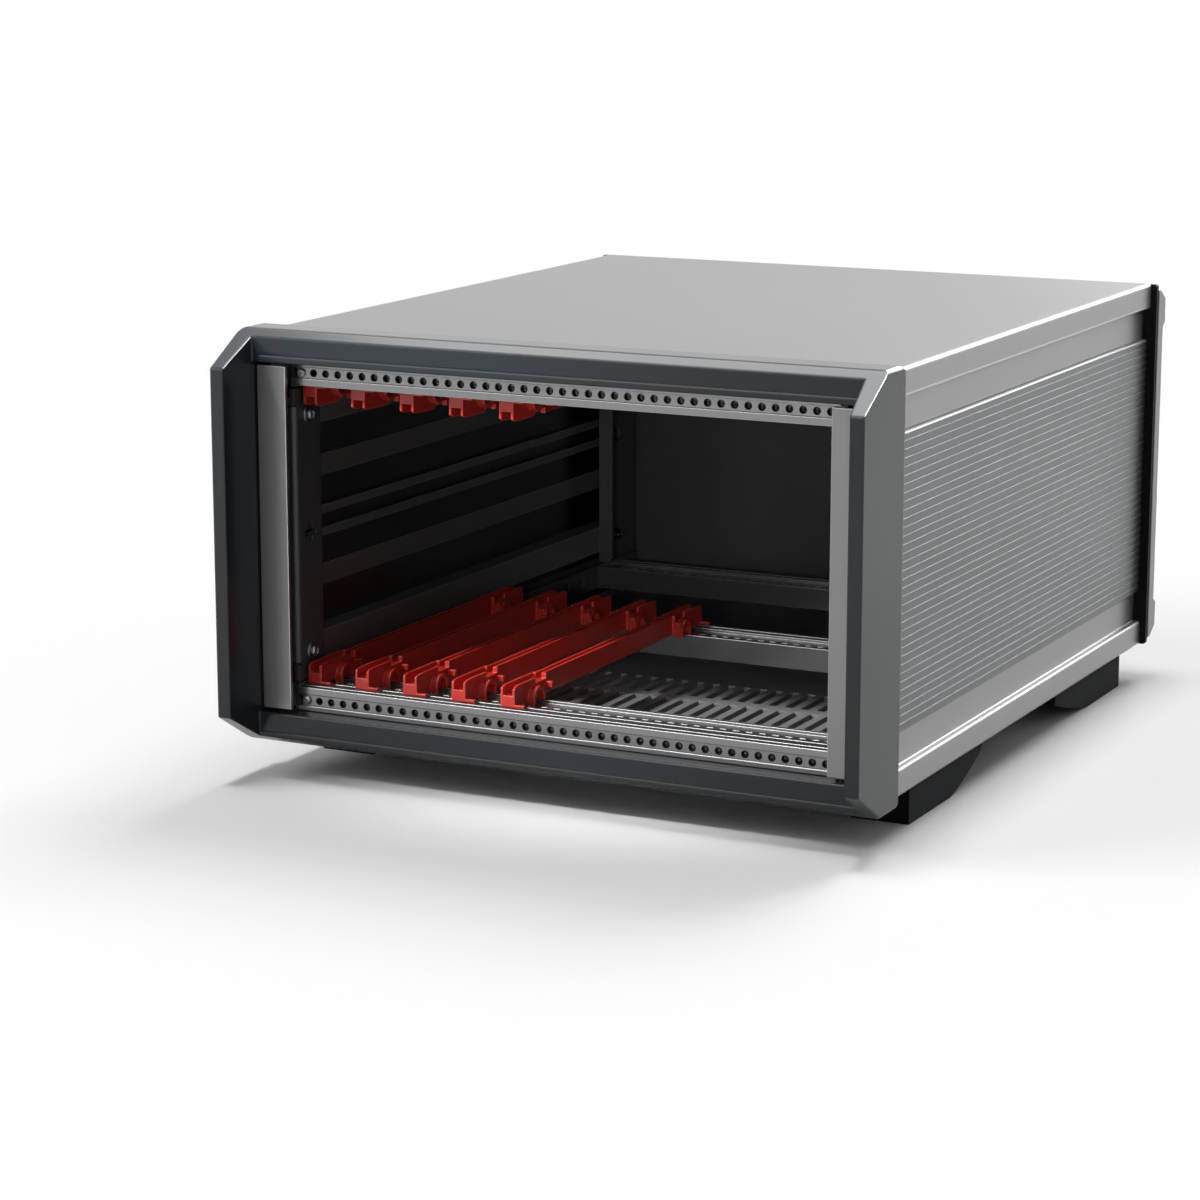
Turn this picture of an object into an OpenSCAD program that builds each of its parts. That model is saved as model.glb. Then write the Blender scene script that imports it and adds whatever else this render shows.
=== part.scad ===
// Desktop case with a 3U card cage: cast front frame, ribbed side panels, rails, tapped strips, card guides
// Origin at the middle of the case on the ground, X to the right, Y to the rear, Z up, sizes in millimetres

/* [Card cage] */
// Pitch of the tapped holes along each front rail
hole_pitch = 5.08; // [5:0.01:5.2]
// Number of tapped holes in each front rail
hole_count = 42; // [32:1:60]
// Diameter of the tapped holes
hole_d = 2.8; // [2.4:0.1:3]
// Length of each rail past the last hole pitch
rail_end = 1.32; // [1:0.02:2.4]
// Height of a rail
rail_h = 9.2; // [9:0.1:11]
// Depth of a rail from its face to its back lip
rail_depth = 22.4; // [21.4:0.1:25]
// Height from a row of holes to the cage side of its rail
hole_to_cage = 5.25; // [5.1:0.05:5.4]
// Height of the channel that holds a tapped strip
channel_h = 4.3; // [4.2:0.1:4.6]
// Thickness of a tapped strip
insert_t = 2.5; // [2:0.1:3]
// How far a tapped strip is sunk behind the rail face
insert_sink = 0.4; // [0.2:0.1:0.8]
// Distance from a rail face to its row of peg slots
slot_row = 14.6; // [13.8:0.1:16]
// Width of a peg slot
slot_w = 2.6; // [2.2:0.1:3]
// Depth of a peg slot along the case
slot_l = 1.3; // [1.1:0.1:1.6]

/* [Card guides] */
// Number of card guides in each row
guide_count = 5; // [2:1:6]
// Holes from one card guide to the next
guide_step = 4; // [3:1:5]
// Length of a card guide
guide_len = 160; // [150:1:190]
// Distance from the rail face to the front of a guide
guide_start = 5; // [4.4:0.1:6.5]
// Height between the groove floors of a pair of guides, which a card fills
card_h = 100.4; // [90:0.1:125]
// Height of the groove floor above the rail
guide_floor = 5.8; // [5:0.1:7]
// Depth of the groove that holds a card's edge
groove_depth = 2; // [1.8:0.1:2.4]
// How far the groove floor drops at its mouth
mouth_drop = 1.6; // [1:0.1:1.8]
// Width of the groove that holds a card
groove_w = 2; // [1.7:0.05:2.4]
// Width of the funnel at each end of the groove
funnel_w = 4; // [3.4:0.1:4.4]
// Length of the funnel block at each end
funnel_len = 25.5; // [24:0.5:30]
// Thickness of the groove walls
guide_wall = 0.8; // [0.6:0.05:1]

/* [Case] */
// Distance from the middle rails to the rear rails
rear_gap = 105.4; // [95:0.2:140]
// Distance from the rear rails to the end of the side panels
rear_space = 18.6; // [17:0.2:32]
// Thickness of the top and bottom covers
cover_t = 2; // [1.2:0.1:3]
// Space between the rails and a cover
cover_gap = 8.1; // [6:0.1:14]
// Width of the rolled edge outside each cover
cover_edge = 1.8; // [1.7:0.1:2.2]
// Thickness of the strips and brackets at the rail ends
plate_t = 2; // [1.6:0.1:2.5]
// Reach of the inner ledges of a side panel
seat_reach = 8.5; // [8:0.1:12]
// Wall thickness of a side panel
panel_wall = 2.5; // [2.2:0.1:4]
// Depth of the recessed bands of a side panel
panel_recess = 3; // [2.4:0.1:3.6]
// Height of each rib above the recessed bands
rib_lift = 2.1; // [1.6:0.1:2.4]
// Number of ribs on a side panel
rib_count = 35; // [20:1:40]
// How far each rib leans out from its foot to the small ledge on its top
rib_lean = 0.45; // [0.3:0.05:0.8]
// Number of vent slots in each row
vent_count = 25; // [5:2:25]
// Pitch of the vent slots
vent_pitch = 6.75; // [5.5:0.05:7]
// Width of a vent slot
vent_w = 3.3; // [2:0.1:4]
// Length of a vent slot
vent_len = 22.4; // [15:0.1:25]
// Distance from the rail face to the first row of vent slots
vent_start = 86; // [60:0.5:88]

/* [Front frame] */
// How far the uprights stand in front of the rails
nose = 25.3; // [20:0.1:32]
// How far the top and bottom members stand in front of the rails
member_front = 8.1; // [6:0.1:10]
// How far the frame reaches behind the rail face
frame_back = 11; // [9:0.5:14]
// How far the frame stands out past the side panels
frame_lap = 2.8; // [1.5:0.1:4]
// How far the frame stands above the covers
frame_rise = 1.95; // [1:0.05:3]
// Thickness of an upright at its front edge
nose_t = 5.15; // [4:0.05:7]
// Inward taper of an upright for each millimetre of depth
upright_taper = 0.1; // [0.06:0.005:0.11]
// Angle of the sloping ends of the uprights
slope_deg = 30.35; // [27:0.05:34]
// Height of the sloping ends
slope_drop = 12.65; // [11:0.05:14]
// Radius along the long outer edges of the frame
frame_edge_r = 2.4; // [1:0.1:2.8]
// Distance of the trim strips in front of the rails
trim_front = 6.2; // [5:0.1:7]
// Thickness of the trim strips
trim_t = 1.6; // [1.2:0.1:2.2]
// How far the trim strips reach in front of the rail ends
trim_lap = 0.7; // [0.4:0.1:1.2]

/* [Rear frame] */
// Thickness of the black spacer behind the side panels
spacer_t = 2.3; // [1.6:0.1:4]
// Thickness of the rear panel
rear_panel_t = 2; // [1.2:0.1:2.4]
// Thickness of the rear frame
rear_frame_t = 5.7; // [5:0.1:9]
// How far the corner bumpers stand out behind the rear frame
bump = 2.9; // [2.6:0.1:4]
// How far the rear frame is lower than the covers
rear_drop = 1.8; // [1.2:0.1:3]

/* [Feet] */
// Height of the feet
foot_h = 15; // [14:0.5:22]
// Width of the feet
foot_w = 22; // [18:0.5:30]
// Length of the front feet
foot_len = 76; // [74:0.5:80]
// Length of the rear feet
rear_foot_len = 80; // [76:0.5:84]
// Length of the flat sole
sole_len = 41; // [38:0.5:44]
// Distance from the rail face to the front feet
foot_front = 38; // [30:0.5:42]
// Distance from the rear feet to the end of the side panels
foot_rear = 15.4; // [10:0.2:24]
// Distance of the feet from the case sides
foot_side = 3.6; // [2:0.2:10]

/* [Screws] */
// Radius of the screws in the rail ends
rail_screw_r = 1.6; // [1.3:0.05:1.7]
// Radius of the bracket screws
bracket_screw_r = 1.4; // [1.2:0.05:1.7]
// Radius of the bracket washers
washer_r = 3.1; // [2.9:0.05:3.6]
// Radius of the rear frame screws
rear_screw_r = 1.5; // [1.2:0.05:1.6]
// Radius of the foot screws
foot_screw_r = 1.5; // [1.2:0.05:1.8]

/* [Hidden] */
// Radial play of a screw in its thread, and of a piece that only passes another
fit = 0.05;
gap = 0.1;
// Places worked out from the sizes above
insert_h = channel_h - 2 * gap;
rail_in = card_h / 2 + guide_floor;
row_z = rail_in + hole_to_cage;
rail_out = rail_in + rail_h;
rail_half = hole_count * hole_pitch / 2 + rail_end;
plate_out = rail_half + plate_t;
wall_in = plate_out + seat_reach;
band_x = wall_in + panel_wall;
panel_out = band_x + panel_recess;
frame_out = panel_out + frame_lap;
cover_in = rail_out + cover_gap;
cover_out = cover_in + cover_t;
frame_top = cover_out + frame_rise;
mid_face = guide_start + guide_len;
rear_face = mid_face + rear_gap;
panel_end = rear_face + rear_space;
spacer_end = panel_end + spacer_t;
bar_end = spacer_end + rear_frame_t;
rear_tip = bar_end + bump;
rear_h = cover_out - rear_drop;
opening_z = rail_out + 0.2;
nose_half = frame_top - slope_drop;
slope_y = slope_drop / tan(slope_deg) - nose;
rib_zone = rail_in - 3.2;
rib_pitch = 2 * rib_zone / rib_count;
band_step = rail_out;
rear_open_x = plate_out - 4;
rear_open_z = rail_out + 2.8;
rear_panel_x = plate_out - 0.2;
rear_panel_z = cover_in - 0.3;
panel_face = panel_end - rear_panel_t;
rear_screw_x = wall_in - 2;
rear_screw_z = rail_in + 6.5;
foot_x = panel_out - foot_side - foot_w / 2;
shift_y = (nose - rear_tip) / 2;
shift_z = cover_out + foot_h;
mouth_floor = guide_floor - mouth_drop;
guide_h = guide_floor + groove_depth;
guide_half = groove_w / 2 + guide_wall;
block_half = funnel_w / 2 + guide_wall;
// Radii of the front frame's nose, brow and back edge, and its fine lines
nose_r = 1.2;
brow_r = 4;
back_r = 3;
line_w = 0.4;
upper_line = opening_z + 2.4;
lower_line = opening_z + 7;
// Trim strips and their legs
trim_half = opening_z - 1.5;
trim_leg_t = 1.8;
trim_leg_x = wall_in - 3;
// Rail section: back lip, cage-side web, outer deck and depth of the front box
rail_lip = 1.5;
rail_web = 1.2;
rail_deck = 3;
rail_box = 12;
// Ridges on the cage side of a rail: front step, broad front ridge and narrow ridge behind it
step_w = 1.1;
step_h = 0.4;
groove_h = 1.8;
ridge_a = [2.4, 4];
ridge_b = [7.4, 8.4];
// Bores in the rail ends: depth behind the rail face, height from its cage side, length
screw_a = 9.3;
screw_b = 5.6;
bore_len = 12;
// Screw at the end of each tapped strip
insert_head_r = channel_h / 2 - 0.5;
insert_head_h = 1.3;
// Strips beside the rail ends, with their upright slots in front of the rear rails
strip_front = 1.6;
strip_slots = [51.4, 37.4];
strip_slot_w = 3.6;
// Ledges of a side panel, brackets on them and their screws
seat_front = 3.6;
seat_h = 11;
bracket_half = rail_in - 1.2;
bracket_end = 19;
bracket_tab = 6;
tab_front = 1;
flange_reach = 4;
bracket_y = 10;
bracket_screw_z = rail_in - guide_h - washer_r - 0.6;
bracket_head_r = bracket_screw_r + 0.7;
bracket_head_h = 2;
washer_t = 0.8;
cross_y = 11;
cross_arm = 3.6;
cross_w = 2.4;
rear_bracket_lead = 17.4;
rear_bracket_front = rear_face - rear_bracket_lead;
rear_bracket_y = rear_face - 4.4;
rear_flange = 4.2;
// Rounded and rolled edges of a side panel, and the bars along its inside
shoulder_r = 1.2;
shoulder_fillet = 0.6;
rolled_r = 1.5;
rib_top_r = 1.1;
rib_groove = [0.4, 0.7];
twin_bar = 3;
twin_bar_z = 2.8;
flat_bar_h = 8;
flat_bar_z = 17;
// Foot screws: depth of the counterbore, height of the head, distances from the ends of the sole
counterbore = 8;
foot_head_h = 2.2;
foot_screw_in = 10;
foot_screw_out = 8;
// Heads of the rear frame screws and their length in the side panels
rear_head_r = rear_screw_r + 1.6;
rear_head_h = 2.4;
rear_screw_len = 12;
// Guide details: clip over a rail's lip, hook, tab, and sideways place from its peg slot
clip_at = 10.3;
clip_wall = 1.3;
clip_drop = 1.1;
clip_reach = 2.7;
guide_side = 0.5;
peg_play = 0.2;
anthracite = [0.21, 0.23, 0.24];
silver = [0.72, 0.73, 0.74];
grey = [0.6, 0.61, 0.62];
black = [0.09, 0.09, 0.1];
red = [0.8, 0.1, 0.08];
steel = [0.75, 0.75, 0.76];

$fn = 32;

// Sideways place of hole number i, counted from the left
function hole_x(i) = (i - (hole_count + 1) / 2) * hole_pitch;

// Inner face of an upright at depth y
function upright_in(y) = frame_out - nose_t - upright_taper * (y + nose);

// Points along an arc about c
function arc(c, r, a0, a1, n) = [
  for (i = [0:n]) c + r * [cos(a0 + (a1 - a0) * i / n), sin(a0 + (a1 - a0) * i / n)]];

// The same outline points turned upside down, in reverse order
function below(p) = [for (i = [len(p) - 1:-1:0]) [p[i][0], -p[i][1]]];

// Shapes are drawn from the rail face at mid height of the cage
module place() {
  translate([0, shift_y, shift_z]) children();
}

// Outline in depth and height, pushed across the case from x0 to x1
module across(x0, x1) {
  translate([x0, 0, 0]) rotate([90, 0, 90]) linear_extrude(x1 - x0) children();
}

// Outline in width and height, pushed along the case from y0 to y1
module along(y0, y1) {
  translate([0, y1, 0]) rotate([90, 0, 0]) linear_extrude(y1 - y0) children();
}

// Box between two corners
module block(lo, hi) {
  translate(lo) cube(hi - lo);
}

// Round bar along the case
module bar_y(x, z, r, y0, y1) {
  translate([x, y0, z]) rotate([-90, 0, 0]) cylinder(r = r, h = y1 - y0);
}

// Round bar across the case
module bar_x(y, z, r, x0, x1) {
  translate([x0, y, z]) rotate([0, 90, 0]) cylinder(r = r, h = x1 - x0);
}

// Rectangle with round corners
module round_rect(w, h, r) {
  square([w - 2 * r, h], center = true);
  square([w, h - 2 * r], center = true);
  for (sx = [-1, 1], sz = [-1, 1]) {
    translate([sx * (w / 2 - r), sz * (h / 2 - r)]) circle(r);
  }
}

// Left or right, upper or lower copy of a right-hand upper piece
module copy(sx, sz) {
  mirror([sx < 0 ? 1 : 0, 0, 0]) mirror([0, 0, sz < 0 ? 1 : 0]) children();
}

// Side outline of the cast front frame, upper half
upper_outline = concat(
  arc([nose_r - nose, nose_half - nose_r * tan(45 - slope_deg / 2)], nose_r, 180, 90 + slope_deg, 4),
  arc([slope_y + brow_r * tan(slope_deg / 2), frame_top - brow_r], brow_r, 90 + slope_deg, 90, 4),
  arc([frame_back - back_r, frame_top - back_r], back_r, 90, 0, 5));

module front_frame() {
  color(anthracite) place() difference() {
    intersection() {
      along(-nose, frame_back) round_rect(2 * frame_out, 2 * frame_top, frame_edge_r);
      across(-frame_out, frame_out) polygon(concat(upper_outline, below(upper_outline)));
    }
    translate([0, 0, -frame_top - 1]) linear_extrude(2 * frame_top + 2) pocket_plan(-member_front);
    translate([0, 0, -opening_z]) linear_extrude(2 * opening_z) pocket_plan(frame_back + 1);
    line_x = upright_in(-member_front) - 0.3;
    for (z = [upper_line, -lower_line - line_w]) {
      block([-line_x, -member_front - 1, z], [line_x, -member_front + line_w, z + line_w]);
    }
  }
}

// Space between the uprights, seen from above, back to depth y1
module pocket_plan(y1) {
  y0 = -nose - 1;
  polygon([[-upright_in(y0), y0], [upright_in(y0), y0], [upright_in(y1), y1], [-upright_in(y1), y1]]);
}

// Trim strip beside the cage with a leg that reaches back to the side panel
module trim(sx) {
  color(grey) place() copy(sx, 1) {
    x0 = rail_half - trim_lap;
    x1 = upright_in(-trim_front) - 0.7;
    block([x0, -trim_front, -trim_half], [x1, -trim_front + trim_t, trim_half]);
    block([trim_leg_x, -trim_front, -trim_half], [trim_leg_x + trim_leg_t, seat_front, trim_half]);
  }
}

// Outline of a rail: depth behind its face, height outward from the cage side
module rail_outline() {
  c0 = hole_to_cage - channel_h / 2;
  c1 = hole_to_cage + channel_h / 2;
  bed = insert_sink + insert_t;
  tip = hole_d / 2 + 2 * gap;
  relief = bed + 3.5;
  back = rail_depth - rail_lip;
  polygon([
    [0, step_h], [step_w, step_h], [step_w, groove_h], [ridge_a[0], groove_h], [ridge_a[0], 0],
    [ridge_a[1], 0], [ridge_a[1], rail_web], [ridge_b[0], rail_web], [ridge_b[0], 0], [ridge_b[1], 0],
    [ridge_b[1], rail_web], [back, rail_web], [back, 0], [rail_depth, 0], [rail_depth, rail_h],
    [back, rail_h], [back, rail_deck], [rail_box, rail_deck], [rail_box, rail_h], [0, rail_h], [0, c1],
    [bed, c1], [bed, hole_to_cage + tip], [relief, hole_to_cage + tip], [relief, hole_to_cage - tip],
    [bed, hole_to_cage - tip], [bed, c0], [0, c0]]);
}

// Rail with its peg slots and end bores; faces forward when dir is 1, to the rear when dir is -1
module rail(face, dir, sz) {
  turn = dir < 0 ? 1 : 0;
  color(silver) place() copy(1, sz) translate([0, face, rail_in]) mirror([0, turn, 0]) difference() {
    across(-rail_half, rail_half) rail_outline();
    for (i = [1:hole_count]) {
      translate([hole_x(i), slot_row, 2]) cube([slot_w, slot_l, 4], center = true);
    }
    for (s = [-1, 1]) {
      mirror([s < 0 ? 1 : 0, 0, 0])
        bar_x(screw_a, screw_b, rail_screw_r + fit, rail_half - bore_len, rail_half + 1);
    }
  }
}

// Tapped strip in the channel of a front rail
module insert(sz) {
  color(steel) place() copy(1, sz) difference() {
    x1 = rail_half - rail_end - 0.6;
    block([-x1, insert_sink, row_z - insert_h / 2], [x1, insert_sink + insert_t, row_z + insert_h / 2]);
    for (i = [1:hole_count]) {
      bar_y(hole_x(i), row_z, hole_d / 2, insert_sink - 1, insert_sink + insert_t + 1);
    }
  }
}

// Screw at the left end of each tapped strip
module insert_screws() {
  color(steel) place() for (sz = [-1, 1]) {
    zc = sz * row_z;
    difference() {
      union() {
        bar_y(hole_x(1), zc, insert_head_r, insert_sink - insert_head_h, insert_sink);
        bar_y(hole_x(1), zc, hole_d / 2 - fit, insert_sink, insert_sink + insert_t + 2);
      }
      translate([hole_x(1), insert_sink - insert_head_h, zc]) cube([5, insert_head_h, 0.6], center = true);
    }
  }
}

// Strip beside the rail ends, with countersunk holes for the rail screws and two upright slots
module rail_strip(sx, sz) {
  color(black) place() copy(sx, sz) difference() {
    block([rail_half, strip_front, rail_in - 0.6], [plate_out, panel_face - gap, rail_out]);
    for (y = [screw_a, mid_face - screw_a, rear_face - screw_a]) {
      bar_x(y, rail_in + screw_b, rail_screw_r + fit, rail_half - 1, plate_out + 1);
      screw_cone(y, rail_in + screw_b, fit);
    }
    for (s = strip_slots) {
      y0 = rear_face - s - strip_slot_w / 2;
      block([rail_half - 1, y0, rail_in + 2], [plate_out + 1, y0 + strip_slot_w, rail_out - 2.2]);
    }
  }
}

// Countersunk head in the right-hand strip, grown by g
module screw_cone(y, z, g) {
  r = rail_screw_r + g;
  depth = plate_t - 0.3;
  translate([plate_out - depth, y, z]) rotate([0, 90, 0]) cylinder(r1 = r, r2 = r + depth, h = depth);
}

// Countersunk screws through the strips into the rail ends
module rail_screws() {
  color(steel) place() for (sx = [-1, 1], sz = [-1, 1]) {
    copy(sx, sz) for (y = [screw_a, mid_face - screw_a, rear_face - screw_a]) {
      bar_x(y, rail_in + screw_b, rail_screw_r, rail_half - bore_len + 3, rail_half + 0.3);
      screw_cone(y, rail_in + screw_b, 0);
    }
  }
}

// Front side bracket: web beside the cage, flange turned outward at the front, cross-shaped hole
module front_bracket(sx) {
  color(black) place() copy(sx, 1) difference() {
    union() {
      block([rail_half, seat_front, -bracket_half], [plate_out, bracket_end, bracket_half]);
      for (z = [-bracket_half, bracket_half - bracket_tab]) {
        block([rail_half, tab_front, z], [plate_out, seat_front + 1, z + bracket_tab]);
      }
      flange_half = bracket_half - bracket_tab - 0.8;
      translate([0, 0, -flange_half]) linear_extrude(2 * flange_half) bend_plan();
    }
    for (sz = [-1, 1]) {
      bar_x(bracket_y, sz * bracket_screw_z, bracket_screw_r + gap, rail_half - 1, plate_out + 1);
    }
    translate([rail_half, cross_y, 0]) {
      cube([3 * plate_t, cross_w, 2 * cross_arm], center = true);
      cube([3 * plate_t, 2 * cross_arm, cross_w], center = true);
    }
  }
}

// Bend from the web of a front bracket to its outward flange, seen from above
module bend_plan() {
  translate([plate_out, seat_front]) intersection() {
    circle(plate_t);
    translate([-plate_t, -plate_t]) square(plate_t);
  }
  translate([plate_out - 0.5, seat_front - plate_t]) square([flange_reach + 0.5, plate_t - gap]);
  translate([rail_half, seat_front - 0.5]) square([plate_t, 1]);
}

// Rear side bracket: web beside the cage with a round hole, flange turned inward at its front edge
module rear_bracket(sx) {
  y0 = rear_bracket_front;
  z1 = bracket_half;
  r = rear_flange - 1.2;
  color(black) place() copy(sx, 1) difference() {
    union() {
      block([rail_half, y0, -z1], [plate_out, panel_face - 2, z1]);
      along(y0, y0 + plate_t) {
        translate([rail_half - rear_flange, r - z1]) square([rear_flange + 1, 2 * z1 - 2 * r]);
        translate([rail_half - rear_flange + r, -z1]) square([r, 2 * z1]);
        translate([rail_half - rear_flange + r, z1 - r]) circle(r);
        translate([rail_half - rear_flange + r, r - z1]) circle(r);
      }
    }
    for (sz = [-1, 1]) {
      bar_x(rear_bracket_y, sz * bracket_screw_z, bracket_screw_r + gap, rail_half - 1, plate_out + 1);
    }
    bar_x(rear_bracket_y, 0, cross_arm, rail_half - 1, plate_out + 1);
  }
}

// Pan-head screws that hold the brackets to the side panels
module bracket_screws() {
  color(steel) place() for (sx = [-1, 1], sz = [-1, 1]) {
    copy(sx, sz) for (y = [bracket_y, rear_bracket_y]) {
      under_head = rail_half - washer_t;
      difference() {
        union() {
          bar_x(y, bracket_screw_z, bracket_screw_r, under_head - 0.2, plate_out + 6);
          bar_x(y, bracket_screw_z, bracket_head_r, under_head - bracket_head_h, under_head);
        }
        translate([under_head - bracket_head_h, y, bracket_screw_z]) {
          cube([bracket_head_h, 2.8, 0.7], center = true);
          cube([bracket_head_h, 0.7, 2.8], center = true);
        }
      }
    }
  }
}

module bracket_washers() {
  color(steel) place() for (sx = [-1, 1], sz = [-1, 1]) {
    copy(sx, sz) for (y = [bracket_y, rear_bracket_y]) {
      difference() {
        bar_x(y, bracket_screw_z, washer_r, rail_half - washer_t, rail_half);
        bar_x(y, bracket_screw_z, bracket_screw_r + gap, rail_half - 2, rail_half + 1);
      }
    }
  }
}

// Outline of the ribbed field of a side panel: each rib leans out to a ledge, the uppermost edge is round,
// and a narrow groove parts it from the band above
module rib_field() {
  tip = band_x + rib_lift;
  last = rib_count - 1;
  groove_x = band_x + rib_groove[0];
  groove_z = rib_zone - rib_groove[1];
  polygon(concat(
    [[groove_x, rib_zone], [groove_x, groove_z], [wall_in, groove_z], [wall_in, -rib_zone]],
    [for (i = [0:last], k = [0:1])
      if (i < last || k == 0) [tip - (1 - k) * rib_lean, (i + k) * rib_pitch - rib_zone]],
    arc([tip - rib_top_r, rib_zone - rib_top_r], rib_top_r, 0, 90, 6)));
}

// Ledges of a side panel that carry the brackets and the strips
module seats() {
  for (sz = [-1, 1]) mirror([0, sz < 0 ? 1 : 0]) {
    translate([plate_out, rail_in + 0.5]) square([seat_reach + 0.5, rail_h - 0.7]);
    translate([plate_out, bracket_screw_z - seat_h / 2 + 0.5]) square([seat_reach + 0.5, seat_h]);
  }
}

// Outline of a right-hand side panel
module panel_outline() {
  seats();
  rib_field();
  translate([wall_in, -cover_in]) square([panel_wall, 2 * cover_in]);
  for (sz = [-1, 1]) mirror([0, sz < 0 ? 1 : 0]) {
    translate([wall_in, band_step]) square([panel_out - wall_in - shoulder_r, cover_in - band_step]);
    translate([wall_in, band_step + shoulder_r])
      square([panel_out - wall_in, cover_in - band_step - shoulder_r]);
    translate([panel_out - shoulder_r, band_step + shoulder_r]) circle(shoulder_r);
    difference() {
      translate([band_x - 0.1, band_step - shoulder_fillet]) square(shoulder_fillet + 0.1);
      translate([band_x + shoulder_fillet, band_step - shoulder_fillet]) circle(shoulder_fillet);
    }
    translate([panel_out - cover_edge, cover_in - 1]) square([cover_edge, cover_t + 1 - rolled_r]);
    translate([panel_out - cover_edge, cover_in - 1]) square([cover_edge - rolled_r, cover_t + 1]);
    translate([panel_out - rolled_r, cover_out - rolled_r]) intersection() {
      circle(rolled_r);
      square(rolled_r);
    }
    translate([wall_in - 6, cover_in - 2.6]) square([7, 2.6]);
    translate([wall_in - twin_bar + 0.6, twin_bar_z]) square(twin_bar);
    translate([wall_in - 0.8, flat_bar_z]) square([1.5, flat_bar_h]);
  }
}

module side_panel(sx) {
  color(silver) place() copy(sx, 1) difference() {
    union() {
      along(frame_back, panel_end) panel_outline();
      along(seat_front, frame_back + 1) intersection() {
        seats();
        square([2 * (upright_in(frame_back) - 0.2), 4 * rail_out], center = true);
      }
    }
    for (sz = [-1, 1]) {
      for (y = [bracket_y, rear_bracket_y]) {
        bar_x(y, sz * bracket_screw_z, bracket_screw_r + fit, plate_out - 1, plate_out + 7);
      }
      bar_y(rear_screw_x, sz * rear_screw_z, rear_screw_r + fit,
        panel_end - rear_screw_len - 2, panel_end + 1);
    }
  }
}

// Plain plate between the rolled edges of the side panels
module cover_plate() {
  x1 = panel_out - cover_edge - gap;
  block([-x1, frame_back, cover_in], [x1, panel_end, cover_out]);
}

module top_cover() {
  color(silver) place() cover_plate();
}

module bottom_cover() {
  color(grey) place() difference() {
    mirror([0, 0, 1]) cover_plate();
    for (row = [0, 1], i = [0:vent_count - 1]) {
      x = (i - (vent_count - 1) / 2) * vent_pitch;
      y = vent_start + row * (vent_len + 6.4);
      block([x - vent_w / 2, y, -cover_out - 1], [x + vent_w / 2, y + vent_len, 1 - cover_in]);
    }
    at_foot_screws() translate([0, 0, -cover_out - 1]) cylinder(r = foot_screw_r + fit, h = cover_t + 2);
  }
}

// Places of the two screws of each foot
module at_foot_screws() {
  for (sx = [-1, 1], s = [foot_screw_in, sole_len - foot_screw_out]) {
    translate([sx * foot_x, foot_front + s, 0]) children();
    translate([sx * foot_x, panel_end - foot_rear - s, 0]) children();
  }
}

// Outline of a foot: flat sole, heel that rises in a slow curve, measured from its upright end
module foot_outline(rear) {
  run = rear ? rear_foot_len - sole_len : foot_len - sole_len - 4;
  rise = foot_h * (rear ? 0.62 : 0.7);
  heel = [for (i = [0:8]) [sole_len + run * i / 8, rise * (0.64 * i / 8 + 0.36 * i * i / 64)]];
  polygon(concat([[0, foot_h], [0, 0]], heel, [[rear ? rear_foot_len : foot_len, foot_h]]));
}

module foot(sx, rear) {
  color(black) place() difference() {
    translate([0, rear ? panel_end - foot_rear : foot_front, -shift_z]) mirror([0, rear ? 1 : 0, 0]) {
      across(sx * foot_x - foot_w / 2, sx * foot_x + foot_w / 2) foot_outline(rear);
    }
    at_foot_screws() {
      translate([0, 0, -shift_z - 1]) cylinder(r = foot_screw_r + 2.6, h = counterbore + 1);
      translate([0, 0, -shift_z]) cylinder(r = foot_screw_r + gap, h = foot_h + 1);
    }
  }
}

module foot_screws() {
  head_z = counterbore - foot_head_h - shift_z;
  color(steel) place() at_foot_screws() difference() {
    union() {
      translate([0, 0, head_z]) cylinder(r = foot_screw_r + 2, h = foot_head_h);
      translate([0, 0, head_z + 1])
        cylinder(r = foot_screw_r, h = foot_h + cover_t - counterbore + foot_head_h);
    }
    translate([0, 0, head_z]) cube([3 * foot_screw_r + 4, 0.9, foot_head_h], center = true);
  }
}

module rear_panel() {
  color(grey) place()
    block([-rear_panel_x, panel_face, -rear_panel_z], [rear_panel_x, panel_end, rear_panel_z]);
}

// Black ring between the side panels and the rear frame, which also holds the rear panel in place
module rear_spacer() {
  color(black) place() difference() {
    along(panel_end, spacer_end) round_rect(2 * frame_out - 0.8, 2 * cover_out - 0.6, 1);
    block([-rear_open_x, panel_end - 1, -rear_open_z], [rear_open_x, spacer_end + 1, rear_open_z]);
    for (sx = [-1, 1], sz = [-1, 1]) {
      bar_y(sx * rear_screw_x, sz * rear_screw_z, rear_screw_r + gap, panel_end - 1, spacer_end + 1);
    }
  }
}

// Side outline of the rear frame with its corner bumpers, upper half
rear_outline = [
  [bar_end, rail_in + 1.1], [rear_tip, rail_in + 2.8], [rear_tip - 0.4, rear_h - 5],
  [spacer_end + 0.4, rear_h], [spacer_end, rear_h]];

module rear_frame() {
  color(silver) place() difference() {
    intersection() {
      along(spacer_end, rear_tip) round_rect(2 * frame_out, 2 * rear_h, 2);
      across(-frame_out, frame_out) polygon(concat(rear_outline, below(rear_outline)));
    }
    block([-rear_open_x, spacer_end - 1, -rear_open_z], [rear_open_x, rear_tip + 1, rear_open_z]);
    for (sx = [-1, 1], sz = [-1, 1]) {
      bar_y(sx * rear_screw_x, sz * rear_screw_z, rear_screw_r + gap, spacer_end - 1, rear_tip);
      bar_y(sx * rear_screw_x, sz * rear_screw_z, rear_head_r + 0.5, bar_end - 1, rear_tip + 1);
    }
  }
}

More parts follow.
